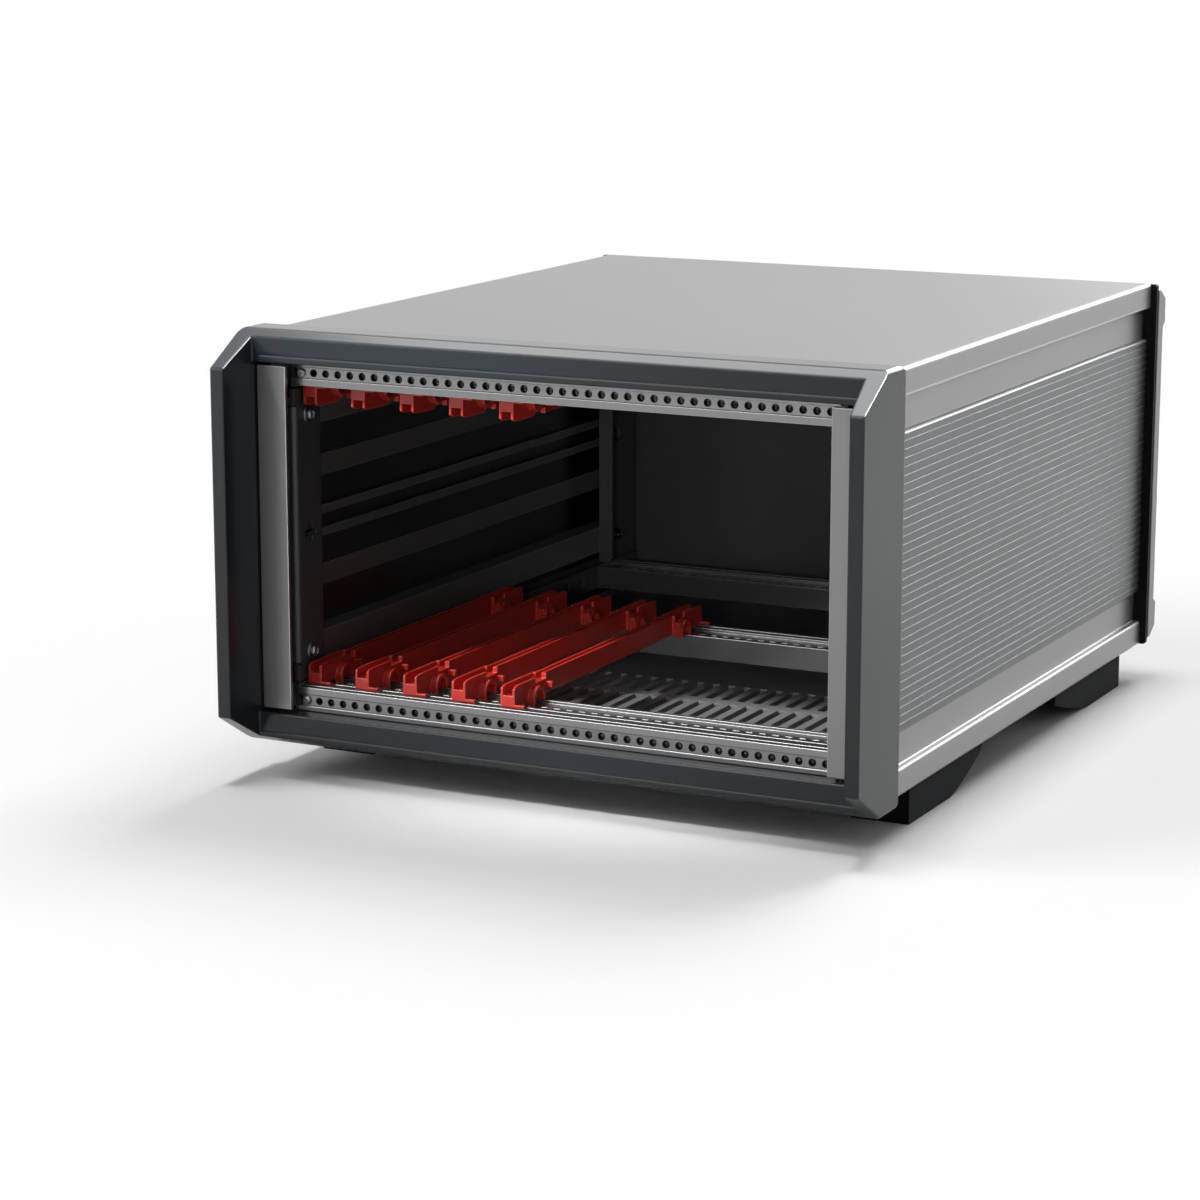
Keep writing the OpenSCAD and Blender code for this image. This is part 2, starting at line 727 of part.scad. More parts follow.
module rear_frame_screws() {
  color(steel) place() for (sx = [-1, 1], sz = [-1, 1]) {
    x = sx * rear_screw_x;
    z = sz * rear_screw_z;
    difference() {
      union() {
        bar_y(x, z, rear_screw_r, panel_end - rear_screw_len, bar_end);
        bar_y(x, z, rear_head_r, bar_end - 1, bar_end - 1 + rear_head_h);
      }
      translate([x, bar_end - 1 + rear_head_h, z]) {
        cube([rear_head_r, 2, 0.8], center = true);
        cube([0.8, 2, rear_head_r], center = true);
      }
    }
  }
}

// Side outline of a funnel's walls at the end of a guide
module funnel_outline() {
  lip = guide_h - 1.2;
  polygon(concat(
    [[0, 0]],
    [for (i = [0:5]) [4 * (1 - cos(18 * i)), lip + 1.2 * sin(18 * i)]],
    [[funnel_len, guide_h], [funnel_len, 0]]));
}

// Side outline of the space in a funnel, whose floor ramps up from the mouth to the groove
module mouth_outline() {
  ramp = clip_at - 4;
  polygon([
    [-1, mouth_floor], [ramp, mouth_floor], [clip_at, guide_floor], [funnel_len - 2, guide_floor],
    [funnel_len - 2, guide_h + 1], [-1, guide_h + 1]]);
}

// Clip that bridges the back lip of a rail, side on, from its end nearest the guide's end
module clip_outline() {
  w = rail_depth - clip_at - guide_start + clip_wall + 0.5;
  difference() {
    union() {
      translate([0, -clip_drop]) square([w, clip_drop + 1]);
      intersection() {
        translate([w / 2, 1]) circle(w / 2);
        square([w, w]);
      }
    }
    translate([clip_wall, -clip_drop - 1]) square([w - 2 * clip_wall, clip_drop + 2]);
    translate([w / 2, 1]) circle(w / 2 - clip_wall);
  }
}

// One end of a guide, set back by inset from the rail face: funnel, clip over the rail's lip, tab and peg
module guide_end(inset) {
  x0 = block_half - 0.4;
  difference() {
    across(-block_half, block_half) funnel_outline();
    across(-funnel_w / 2, funnel_w / 2) mouth_outline();
    block([-groove_w / 2, -1, guide_floor], [groove_w / 2, funnel_len + 1, guide_h + 1]);
    block([0, clip_at + 6, guide_floor], [block_half + 1, funnel_len - 1, guide_h + 1]);
  }
  translate([0, clip_at + guide_start - inset, 0]) across(x0, x0 + clip_reach + 0.4) clip_outline();
  block([x0, funnel_len - 1.4, 2.7], [x0 + clip_reach + 0.4, funnel_len, 4.9]);
  block([x0, 0, 0], [x0 + clip_reach + 1.4, 1.8, 1]);
  peg_x = slot_w / 2 - peg_play;
  peg_y = slot_l / 2 - peg_play;
  translate([-guide_side, slot_row - inset, 0]) block([-peg_x, -peg_y, -1.6], [peg_x, peg_y, 0.5]);
}

// Card guide number i, standing on the rails
module guide(i, sz) {
  x = hole_x(1 + guide_step * (i - 1)) + guide_side;
  color(red) place() copy(1, sz) translate([x, guide_start, rail_in]) mirror([0, 0, 1]) {
    guide_end(guide_start);
    translate([0, guide_len, 0]) mirror([0, 1, 0]) guide_end(0);
    difference() {
      block([-guide_half, funnel_len - 1, 0], [guide_half, guide_len - funnel_len + 1, guide_h]);
      block([-groove_w / 2, 0, guide_floor], [groove_w / 2, guide_len, guide_h + 1]);
    }
  }
}

module front_trim_left() { trim(-1); }
module front_trim_right() { trim(1); }
module front_rail_top() { rail(0, 1, 1); }
module front_rail_bottom() { rail(0, 1, -1); }
module front_insert_top() { insert(1); }
module front_insert_bottom() { insert(-1); }
module middle_rail_top() { rail(mid_face, -1, 1); }
module middle_rail_bottom() { rail(mid_face, -1, -1); }
module rear_rail_top() { rail(rear_face, -1, 1); }
module rear_rail_bottom() { rail(rear_face, -1, -1); }
module front_bracket_left() { front_bracket(-1); }
module front_bracket_right() { front_bracket(1); }
module rear_bracket_left() { rear_bracket(-1); }
module rear_bracket_right() { rear_bracket(1); }
module rail_strip_top_left() { rail_strip(-1, 1); }
module rail_strip_top_right() { rail_strip(1, 1); }
module rail_strip_bottom_left() { rail_strip(-1, -1); }
module rail_strip_bottom_right() { rail_strip(1, -1); }
module side_panel_left() { side_panel(-1); }
module side_panel_right() { side_panel(1); }
module foot_front_left() { foot(-1, false); }
module foot_front_right() { foot(1, false); }
module foot_rear_left() { foot(-1, true); }
module foot_rear_right() { foot(1, true); }

front_frame();
front_trim_left();
front_trim_right();
front_rail_top();
front_rail_bottom();
front_insert_top();
front_insert_bottom();
insert_screws();
middle_rail_top();
middle_rail_bottom();
rear_rail_top();
rear_rail_bottom();
front_bracket_left();
front_bracket_right();
rear_bracket_left();
rear_bracket_right();
bracket_screws();
bracket_washers();
rail_strip_top_left();
rail_strip_top_right();
rail_strip_bottom_left();
rail_strip_bottom_right();
rail_screws();
side_panel_left();
side_panel_right();
top_cover();
bottom_cover();
rear_panel();
rear_spacer();
rear_frame();
rear_frame_screws();
foot_front_left();
foot_front_right();
foot_rear_left();
foot_rear_right();
foot_screws();
for (i = [1:guide_count]) {
  guide(i, -1);
  guide(i, 1);
}
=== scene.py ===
from math import pi, radians

import bpy
import numpy as np
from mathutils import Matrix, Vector


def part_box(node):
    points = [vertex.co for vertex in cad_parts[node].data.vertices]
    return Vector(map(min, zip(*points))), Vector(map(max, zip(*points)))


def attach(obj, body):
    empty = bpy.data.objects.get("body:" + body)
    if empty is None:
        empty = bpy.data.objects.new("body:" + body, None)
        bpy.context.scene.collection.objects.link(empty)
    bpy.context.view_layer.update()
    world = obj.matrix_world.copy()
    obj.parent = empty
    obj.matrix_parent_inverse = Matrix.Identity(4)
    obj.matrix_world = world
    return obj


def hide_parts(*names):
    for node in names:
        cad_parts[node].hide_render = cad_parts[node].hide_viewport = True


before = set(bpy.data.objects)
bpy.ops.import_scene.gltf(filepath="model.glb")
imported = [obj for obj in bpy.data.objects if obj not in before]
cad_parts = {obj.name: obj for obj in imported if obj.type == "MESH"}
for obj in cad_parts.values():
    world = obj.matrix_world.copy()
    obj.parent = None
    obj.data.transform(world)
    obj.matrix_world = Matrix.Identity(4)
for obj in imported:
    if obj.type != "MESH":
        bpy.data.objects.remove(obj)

bpy.context.view_layer.update()

# Front frame
# One casting that frames the whole front, with bevelled brows and two uprights, pushed over the panel ends.
# It is sprayed dark anthracite, smooth but with the faint ripple of a thick coat, and its edges are broken.
MM = 0.001
EDGE_R, EDGE_STARTS, EDGE_FULL = 0.4 * MM, 0.98, 0.75
PAINT_IOR = 1.42


def put(tree, kind, inputs=(), **settings):
    """Adds one shader node. Inputs go by socket identifier, each a value or the output that feeds it."""
    made = tree.nodes.new("ShaderNode" + kind)
    for name, value in settings.items():
        setattr(made, name, value)
    sockets = {socket.identifier: socket for socket in made.inputs}
    for name, value in dict(inputs).items():
        if isinstance(value, bpy.types.NodeSocket):
            tree.links.new(value, sockets[name])
        else:
            sockets[name].default_value = value
    return made


def reckon(tree, operation, *values):
    """One Math node on up to three values or outputs."""
    names = ("Value", "Value_001", "Value_002")
    return put(tree, "Math", zip(names, values), operation=operation).outputs["Value"]


def effect(name, takes, gives):
    """An empty node group with the named inputs and outputs, and its two end nodes."""
    tree = bpy.data.node_groups.new(name, "ShaderNodeTree")
    for label, kind, value in takes:
        socket = tree.interface.new_socket(label, in_out="INPUT", socket_type="NodeSocket" + kind)
        socket.default_value = value
    for label, kind in gives:
        tree.interface.new_socket(label, in_out="OUTPUT", socket_type="NodeSocket" + kind)
    return tree, tree.nodes.new("NodeGroupInput").outputs, tree.nodes.new("NodeGroupOutput").inputs


def use(tree, group, **values):
    """Places a shared effect in a material with its own values."""
    made = tree.nodes.new("ShaderNodeGroup")
    made.node_tree = group
    for name, value in values.items():
        made.inputs[name].default_value = value
    return made.outputs


def spread(tree, source, low, high):
    """Carries a value of 0 to 1 over to the range from low to high."""
    return put(tree, "MapRange", {"Value": source, "To Min": low, "To Max": high}).outputs["Result"]


def tint(tree, mask, first, second):
    """Goes from the first colour to the second as the mask goes from 0 to 1; each may be an output."""
    first, second = (end if isinstance(end, bpy.types.NodeSocket) else (*end, 1) for end in (first, second))
    return put(tree, "Mix", {"Factor_Float": mask, "A_Color": first, "B_Color": second},
               data_type="RGBA").outputs[2]


# Broken edges: the normal is averaged over a small radius, and the mask is how far that turns it; several
# materials paint highlights along edges with this mask
broken_edges, taken, given = effect("broken edges", [("Radius", "Float", EDGE_R)],
                                    [("Normal", "Vector"), ("Edge", "Float")])
rounded = put(broken_edges, "Bevel", {"Radius": taken["Radius"]}, samples=8).outputs["Normal"]
flat = put(broken_edges, "NewGeometry").outputs["Normal"]
turned = put(broken_edges, "VectorMath", {"Vector": rounded, "Vector_001": flat},
             operation="DOT_PRODUCT").outputs["Value"]
edge_turn = put(broken_edges, "MapRange", {"Value": turned, "From Min": EDGE_STARTS, "From Max": EDGE_FULL})
broken_edges.links.new(rounded, given["Normal"])
broken_edges.links.new(edge_turn.outputs["Result"], given["Edge"])

# Mottle: cloudy patches and a fine ripple, each of its own size in metres
mottle, taken, given = effect("mottle", [("Patch", "Float", 60 * MM), ("Ripple", "Float", 1 * MM)],
                              [("Cloud", "Float"), ("Height", "Float")])
place = put(mottle, "TexCoord").outputs["Object"]
for size, end, detail in (("Patch", "Cloud", 3), ("Ripple", "Height", 2)):
    noise = put(mottle, "TexNoise", {"Vector": place, "Scale": reckon(mottle, "DIVIDE", 1.0, taken[size]),
                                     "Detail": detail})
    mottle.links.new(noise.outputs["Fac"], given[end])


def shader_of(material):
    """The shader of a material, whose inputs take its colours and values."""
    return material.node_tree.nodes["Principled BSDF"]


def surface(name, grain, values, bump, depth, radius):
    """A material with broken edges, and over them a bump from the height of an effect with the given values.

    It returns the material and its edge mask."""
    made = bpy.data.materials.new(name)
    made.use_nodes = True
    tree = made.node_tree
    edges = use(tree, broken_edges, Radius=radius)
    bumped = put(tree, "Bump", {"Strength": bump, "Distance": depth, "Normal": edges["Normal"],
                                "Height": use(tree, grain, **values)["Height"]})
    tree.links.new(bumped.outputs["Normal"], shader_of(made).inputs["Normal"])
    return made, edges["Edge"]


def coat(name, dark, light, smooth, rough, patch, ripple, bump, depth, radius=EDGE_R):
    """Paint, plate, sheet or plastic: colour and roughness drift over cloudy patches, on a fine ripple.

    It returns the material, its colour and its edge mask."""
    made, edge = surface(name, mottle, {"Ripple": ripple}, bump, depth, radius)
    tree, shader = made.node_tree, shader_of(made)
    cloud = use(tree, mottle, Patch=patch)["Cloud"]
    colour = tint(tree, cloud, dark, light)
    tree.links.new(colour, shader.inputs["Base Color"])
    tree.links.new(spread(tree, cloud, smooth, rough), shader.inputs["Roughness"])
    return made, colour, edge


def dress(material, *nodes):
    """Gives CAD nodes the material."""
    for name in nodes:
        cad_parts[name].data.materials[0] = material


paint = coat("anthracite paint", dark=(0.014, 0.019, 0.023), light=(0.019, 0.024, 0.029),
             smooth=0.17, rough=0.23, patch=45 * MM, ripple=0.9 * MM, bump=0.12, depth=0.08 * MM,
             radius=1.2 * MM)[0]
shader_of(paint).inputs["IOR"].default_value = PAINT_IOR
dress(paint, "front_frame")

# Trims
# Two thin anodised strips beside the cage opening, each with a leg that reaches back to the side panel.
# They are cut from drawn aluminium, so very fine lines run up them.
LINE_DEPTH, BROAD_SHARE = 0.02 * MM, 0.12
COOL_SHARE, EDGE_POLISH = 1.01, 0.06

# Drawn lines: streaks along the axis whose stretch is small, as a fine height and a broad tone
drawn_lines, taken, given = effect("drawn lines", [("Stretch", "Vector", (1500, 1500, 8))],
                                   [("Height", "Float"), ("Tone", "Float")])
place = put(drawn_lines, "TexCoord").outputs["Object"]
fine = put(drawn_lines, "VectorMath", {"Vector": place, "Vector_001": taken["Stretch"]},
           operation="MULTIPLY").outputs["Vector"]
broad = put(drawn_lines, "VectorMath", {"Vector": fine, "Scale": BROAD_SHARE},
            operation="SCALE").outputs["Vector"]
for streak, end, detail in ((fine, "Height", 2), (broad, "Tone", 3)):
    noise = put(drawn_lines, "TexNoise", {"Vector": streak, "Scale": 1.0, "Detail": detail})
    drawn_lines.links.new(noise.outputs["Fac"], given[end])


def drawn_metal(name, lines, dull, bright, smooth, rough, radius, edge_highlight, metal=1.0, bump=0.05):
    """Drawn aluminium: tone and roughness follow the streaks, and its edges are smoother and painted lighter,
    a painted highlight.

    Lines are the streaks per metre along each axis. It returns the material and its colour."""
    made, edge = surface(name, drawn_lines, {"Stretch": lines}, bump, LINE_DEPTH, radius)
    tree, shader = made.node_tree, shader_of(made)
    tone = use(tree, drawn_lines, Stretch=lines)["Tone"]
    drawn = tint(tree, tone, (dull, dull, dull * COOL_SHARE), (bright, bright, bright * COOL_SHARE))
    # Along the broken edges the colour goes over to a painted highlight
    colour = tint(tree, edge, drawn, (edge_highlight,) * 3)
    polished = reckon(tree, "SUBTRACT", spread(tree, tone, smooth, rough),
                      spread(tree, edge, 0, EDGE_POLISH))
    tree.links.new(colour, shader.inputs["Base Color"])
    tree.links.new(polished, shader.inputs["Roughness"])
    shader.inputs["Metallic"].default_value = metal
    return made, colour


trim = drawn_metal("anodised trim", lines=(4000, 4000, 18), dull=0.22, bright=0.26, smooth=0.29, rough=0.36,
                   radius=0.5 * MM, edge_highlight=0.9, metal=0.8)[0]
dress(trim, "front_trim_left", "front_trim_right")

# Rails
# Six aluminium extrusions across the cage, two at the front, two in the middle and two at the back.
# Each has a channel for a tapped strip, ridges on the cage side and a row of peg slots for the card guides.
rail = drawn_metal("anodised rail", lines=(18, 4000, 4000), dull=0.24, bright=0.28, smooth=0.22, rough=0.27,
                   radius=0.5 * MM, edge_highlight=0.85, metal=0.86, bump=0.006)[0]
dress(rail, *(f"{where}_rail_{end}" for where in ("front", "middle", "rear") for end in ("top", "bottom")))

# Tapped strips
# A zinc-plated steel strip slides into the channel of each front rail, with a thread every 5.08 mm.
# The thread is a ridge that winds along the hole's wall and fades out at both faces of the strip.
HOLE_PITCH, HOLE_COUNT, HOLE_R, HOLE_RIM = 5.08, 42, 1.4, 0.06
STRIP_FRONT, STRIP_BACK = -136.9, -134.4
CAGE_MID, ROW_Z = 90.3, 61.25
THREAD_PITCH, THREAD_DEPTH, THREAD_ROOT = 0.45, 0.2, 0.03
THREAD_STEPS, THREAD_FLANK, THREAD_FADE = 11, 0.45, 6
HOLE_SHADE = (0.02, 0.02, 0.02)
ZINC_SHARE = 0.99


def plated_steel(name, dull, bright, smooth, rough):
    """Zinc plate: grey patches, with the roughness following them, on a fine ripple.

    It returns the material and its colour."""
    made, colour = coat(name, (dull, dull, dull * ZINC_SHARE), (bright,) * 3, smooth, rough,
                        patch=4 * MM, ripple=0.3 * MM, bump=0.08, depth=0.02 * MM, radius=0.25 * MM)[:2]
    shader_of(made).inputs["Metallic"].default_value = 1.0
    return made, colour


def axes(tree):
    """The three Object coordinates, each as an output."""
    return put(tree, "SeparateXYZ", {"Vector": put(tree, "TexCoord").outputs["Object"]}).outputs


def off_middle(tree, height):
    """How far a height lies above or below the middle of the cage."""
    return reckon(tree, "ABSOLUTE", reckon(tree, "SUBTRACT", height, CAGE_MID * MM))


def skin(rings, start=None, end=None):
    """Points, quads and triangles of one closed skin over closed rings of points, each joined to the next.

    With a start and an end point the skin closes in a fan at each; without, the last ring joins the first.
    """
    rows, cols = rings.shape[:2]
    index = np.arange(rows * cols).reshape(rows, cols)
    ahead = np.roll(index, -1, axis=1)
    if start is None:
        near, near_side = index, ahead
        far, far_side = np.roll(index, -1, axis=0), np.roll(ahead, -1, axis=0)
    else:
        near, near_side = index[:-1], ahead[:-1]
        far, far_side = index[1:], ahead[1:]
    quads = np.stack([near, far, far_side, near_side], axis=-1).reshape(-1, 4)
    if start is None:
        return rings.reshape(-1, 3), quads, np.empty((0, 3), int)
    first, last = np.full(cols, rows * cols), np.full(cols, rows * cols + 1)
    fans = np.concatenate([np.stack([first, index[0], ahead[0]], axis=-1),
                           np.stack([last, ahead[-1], index[-1]], axis=-1)])
    return np.vstack([rings.reshape(-1, 3), start, end]), quads, fans


def piece(name, skins, material, slot, *nodes):
    """One object from several skins, in metres from millimetres, faces outward, riding on the case."""
    points, quads, fans = zip(*skins)
    starts = np.cumsum([0] + [len(part) for part in points[:-1]])
    quads, fans = (np.concatenate([part + start for part, start in zip(parts, starts)])
                   for parts in (quads, fans))
    faces = quads.tolist() + fans.tolist()
    mesh = bpy.data.meshes.new(name)
    mesh.from_pydata(np.vstack(points) * MM, [], faces)
    mesh.polygons.foreach_set("use_smooth", np.ones(len(faces), bool))
    mesh.materials.append(material)
    made = bpy.data.objects.new(name, mesh)
    bpy.context.scene.collection.objects.link(made)
    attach(made, "root")
    if nodes:
        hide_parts(*nodes)


def thread(x, z):
    """A three-sided ridge on a helix of the hole's radius: its root is in the wall, and its height and width
    follow the sine of the way along, so that both ends run out to a point."""
    length = STRIP_BACK - STRIP_FRONT - 2 * THREAD_DEPTH
    turns = length / THREAD_PITCH
    way = np.linspace(0, 1, round(turns * THREAD_STEPS) + 1)[:, None]
    swell = np.minimum(1, THREAD_FADE * np.sin(pi * way))
    side = np.array([[-1.0, 0.0, 1.0]]) * THREAD_FLANK * THREAD_PITCH * swell
    radius = HOLE_R + THREAD_ROOT - np.array([[0.0, 1.0, 0.0]]) * THREAD_DEPTH * swell
    angle = 2 * pi * turns * way
    depth = STRIP_FRONT + THREAD_DEPTH + length * way + side
    ridge = np.stack([x + radius * np.cos(angle), depth, z + radius * np.sin(angle)], axis=-1)
    return skin(ridge[1:-1], ridge[0, 1], ridge[-1, 1])


strip_zinc, plate = plated_steel("tapped strip zinc", dull=0.22, bright=0.28, smooth=0.25, rough=0.37)
tree = strip_zinc.node_tree
where = axes(tree)
# Distance to the nearest hole's axis: along X from the pitch, along Z from the height of the row
aside = reckon(tree, "SUBTRACT", reckon(tree, "WRAP", where["X"], HOLE_PITCH * MM, 0.0), HOLE_PITCH / 2 * MM)
height = reckon(tree, "SUBTRACT", off_middle(tree, where["Z"]), ROW_Z * MM)
apart = put(tree, "CombineXYZ", {"X": aside, "Z": height}).outputs["Vector"]
away = put(tree, "VectorMath", {"Vector": apart}, operation="LENGTH").outputs["Value"]
in_hole = reckon(tree, "LESS_THAN", away, (HOLE_R + HOLE_RIM) * MM)
# Inside each hole and a hair beyond its rim the zinc turns near black, a painted shade for the hole's depth
tree.links.new(tint(tree, in_hole, plate, HOLE_SHADE), shader_of(strip_zinc).inputs["Base Color"])
dress(strip_zinc, "front_insert_top", "front_insert_bottom")
# The thread ridges are near black as well, painted shade inside the holes
thread_steel = plated_steel("thread steel in painted shade", dull=0.02, bright=0.035, smooth=0.30, rough=0.42)[0]
hole_x = (np.arange(1, HOLE_COUNT + 1) - (HOLE_COUNT + 1) / 2) * HOLE_PITCH
for end, z in (("top", CAGE_MID + ROW_Z), ("bottom", CAGE_MID - ROW_Z)):
    piece(f"strip_threads_{end}", [thread(x, z) for x in hole_x[1:]], thread_steel, "tapped_strip")

# Strip screws
# A small pan-head screw in the first hole of each tapped strip holds the strip in its rail.
# All the screws of the case are turned steel with a pressed cross recess, bright zinc.
STRIP_SCREW = {"head_r": 1.65, "head_h": 1.3, "shank_r": 1.35, "shank_len": 4.5}
HEAD_SIDES = 64
HEAD_RINGS = np.concatenate([np.linspace(0.06, 0.8, 15), np.array([0.86, 0.92, 0.96, 0.985, 1.0])])
HEAD_RIM, HEAD_DOME, HEAD_FLOOR = 0.45, 0.55, 0.45
CROSS_DEPTH, CROSS_REACH, CROSS_END = 0.55, 0.62, 0.14
ARM_HALF, ARM_SLOPE = 0.17, 0.07
SEAT_CORNER, SEAT_SHARE = 0.08, 0.97
TIP_LEN, TIP_SHARE = 0.3, 0.6


def pan_screw(centre, out, head_r, head_h, shank_r, shank_len):
    """A pan head on a plain shank, turned about the outward axis. The head is a quarter ellipse from rim to
    crown, lowered in its middle by a cross of four arms with sloping walls. A flat seat, the shank and a
    tapered end follow."""
    around = np.linspace(0, 2 * pi, HEAD_SIDES, endpoint=False)[None, :]
    crown = HEAD_RINGS[:, None]
    across = np.minimum(np.abs(np.sin(around)), np.abs(np.cos(around))) * crown * head_r
    arm = np.clip((ARM_HALF * head_r - across) / (ARM_SLOPE * head_r), 0, 1)
    reach = np.clip((CROSS_REACH - crown) / CROSS_END, 0, 1)
    height = head_h * (HEAD_RIM + HEAD_DOME * np.sqrt(1 - crown ** 2)) - CROSS_DEPTH * head_h * arm * reach
    head = np.stack([np.broadcast_to(crown * head_r, height.shape), height], axis=-1)
    below = np.array([[head_r, SEAT_CORNER], [SEAT_SHARE * head_r, 0.0], [shank_r, 0.0],
                      [shank_r, TIP_LEN - shank_len], [TIP_SHARE * shank_r, -shank_len]])
    profile = np.concatenate([head, np.repeat(below[:, None], HEAD_SIDES, axis=1)])
    centre, out = np.array(centre), np.array(out, float)
    first = np.roll(out, 1)
    second = np.cross(out, first)
    spun = profile[..., :1] * (np.cos(around)[..., None] * first + np.sin(around)[..., None] * second)
    rings = centre + spun + profile[..., 1:] * out
    return skin(rings, centre + HEAD_FLOOR * head_h * out, centre - shank_len * out)


zinc = plated_steel("screw zinc", dull=0.2, bright=0.28, smooth=0.31, rough=0.43)[0]
strip_screws = [pan_screw((hole_x[0], STRIP_FRONT, CAGE_MID + up * ROW_Z), (0, -1, 0), **STRIP_SCREW)
                for up in (-1, 1)]
piece("strip_screws", strip_screws, zinc, "fastener", "insert_screws")

# Brackets and rail strips
# Steel brackets stand at the four inner corners, the rear pair with a bent flange, and slotted strips carry
# the rail ends. All are black, satin, with a very fine texture. Screws with washers hold the brackets to the
# side panels.
BRACKET_Y, BRACKET_Z = (-127.3, 128.7), (45.8, 134.8)
BRACKET_HEAD_X, BRACKET_SCREW = 107.2, {"head_r": 2.1, "head_h": 2.0, "shank_r": 1.4, "shank_len": 8.8}
WASHER_X, WASHER = 107.6, {"inner": 1.5, "outer": 3.1, "thick": 0.8}
WASHER_SIDES, WASHER_CORNERS, WASHER_ROUND = 48, 16, 0.35

black = coat("black satin steel", dark=(0.046, 0.046, 0.048), light=(0.060, 0.060, 0.063),
             smooth=0.3, rough=0.42, patch=30 * MM, ripple=0.4 * MM, bump=0.1, depth=0.03 * MM)[0]
dress(black, *(f"{end}_bracket_{side}" for end in ("front", "rear") for side in ("left", "right")),
      *(f"rail_strip_{end}_{side}" for end in ("top", "bottom") for side in ("left", "right")))
dress(zinc, "rail_screws")


def squared(wave):
    """A wave from -1 to 1 whose turns are pushed out towards the corners of a square."""
    return np.sign(wave) * np.abs(wave) ** WASHER_ROUND


def washer(centre, inner, outer, thick):
    """A flat ring whose section is a rectangle with round corners, carried round the screw's axis along X."""
    turn = np.linspace(0, 2 * pi, WASHER_SIDES, endpoint=False)[:, None]
    corner = np.linspace(0, 2 * pi, WASHER_CORNERS, endpoint=False)
    radius = (inner + outer) / 2 + (outer - inner) / 2 * squared(np.cos(corner))
    along = thick / 2 * squared(np.sin(corner))
    rings = np.stack([along + 0 * turn, radius * np.cos(turn), radius * np.sin(turn)], axis=-1)
    return skin(np.array(centre) + rings)


bracket_spots = [(side, y, z) for side in (-1, 1) for y in BRACKET_Y for z in BRACKET_Z]
bracket_screws = [pan_screw((side * BRACKET_HEAD_X, y, z), (-side, 0, 0), **BRACKET_SCREW)
                  for side, y, z in bracket_spots]
piece("bracket_pan_screws", bracket_screws, zinc, "fastener", "bracket_screws")
bracket_washers = [washer((side * WASHER_X, y, z), **WASHER) for side, y, z in bracket_spots]
piece("bracket_round_washers", bracket_washers, zinc, "fastener", "bracket_washers")

# Card guides
# Ten red mouldings, five below and five above, each clipped over the lips of a front and a middle rail.
# The plastic is slightly translucent, and its edges are painted a bright orange-red, a painted glow of light
# through the thin walls.
GUIDE_EDGE_HIGHLIGHT, TRANSLUCENCE, LIGHT_REACH = (1.0, 0.14, 0.09), 0.2, (1.2, 0.15, 0.1)

guide, moulded, edge = coat("red guide plastic", dark=(0.45, 0.028, 0.021), light=(0.52, 0.034, 0.026),
                            smooth=0.24, rough=0.36, patch=20 * MM, ripple=0.8 * MM, bump=0.08,
                            depth=0.04 * MM, radius=0.55 * MM)
tree, shader = guide.node_tree, shader_of(guide)
# The edges take a painted highlight, a painted glow along the rims
tree.links.new(tint(tree, edge, moulded, GUIDE_EDGE_HIGHLIGHT), shader.inputs["Base Color"])
shader.inputs["Subsurface Weight"].default_value = TRANSLUCENCE
shader.inputs["Subsurface Radius"].default_value = LIGHT_REACH
shader.inputs["Subsurface Scale"].default_value = MM
dress(guide, *(f"guide_{row}_{i}" for row in ("lower", "upper") for i in range(1, 6)))

# Side panels
# Two aluminium extrusions, a ribbed field between plain bands and rolled edges, with fine lines from the die.
# They carry the rails, the covers and both frames. The rib field is painted darker and cooler than the bands,
# a painted shade among the ribs; the upper shoulder is a painted highlight, a thin light line; and the inner
# side is duller, with painted highlights along its ridges.
RIB_FIELD, BAND_SINK, RIB_PAINTED_SHADE = 52.9, 2.0, (0.104, 0.110, 0.113)
SHOULDER_Z, SHOULDER_H, SHOULDER_HIGHLIGHT = 155.9, 1.6, (0.46, 0.46, 0.465)
INNER_X, INNER_METAL, INNER_EDGE = 118.0, 0.6, 0.6 * MM
INNER_SHADE, INNER_RIDGE_HIGHLIGHT = (0.23, 0.23, 0.23), (0.9, 0.9, 0.9)

panel, bands = drawn_metal("panel aluminium", lines=(5000, 20, 5000), dull=0.226, bright=0.245,
                           smooth=0.285, rough=0.325, radius=0.22 * MM, edge_highlight=0.28)
tree, shader = panel.node_tree, shader_of(panel)
where = axes(tree)
aside = reckon(tree, "ABSOLUTE", where["X"])
proud = reckon(tree, "GREATER_THAN", aside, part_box("side_panel_right")[1].x - BAND_SINK * MM)
level = reckon(tree, "LESS_THAN", off_middle(tree, where["Z"]), RIB_FIELD * MM)
# Where the ribs stand proud, the colour darkens to a painted shade
ribbed = reckon(tree, "MULTIPLY", proud, level)
# A thin painted highlight runs along the upper shoulder
shoulder = reckon(tree, "COMPARE", where["Z"], SHOULDER_Z * MM, SHOULDER_H / 2 * MM)
inside = reckon(tree, "LESS_THAN", aside, INNER_X * MM)
outer = tint(tree, ribbed, tint(tree, shoulder, bands, SHOULDER_HIGHLIGHT), RIB_PAINTED_SHADE)
# On the inner side, the edges take a painted highlight
inner = tint(tree, use(tree, broken_edges, Radius=INNER_EDGE)["Edge"], INNER_SHADE, INNER_RIDGE_HIGHLIGHT)
tree.links.new(tint(tree, inside, outer, inner), shader.inputs["Base Color"])
tree.links.new(spread(tree, inside, 1.0, INNER_METAL), shader.inputs["Metallic"])
dress(panel, "side_panel_left", "side_panel_right")

# Covers and rear panel
# Plain aluminium sheet with a fine satin grain. The top and bottom covers lie between the rolled edges of the
# side panels, and the bottom one has two rows of vent slots. The rear panel is painted darker, a painted
# shade for the dim back of the cage, and is held by the spacer.
SHADE_DRIFT, ROUGH_DRIFT = 0.01, 0.02

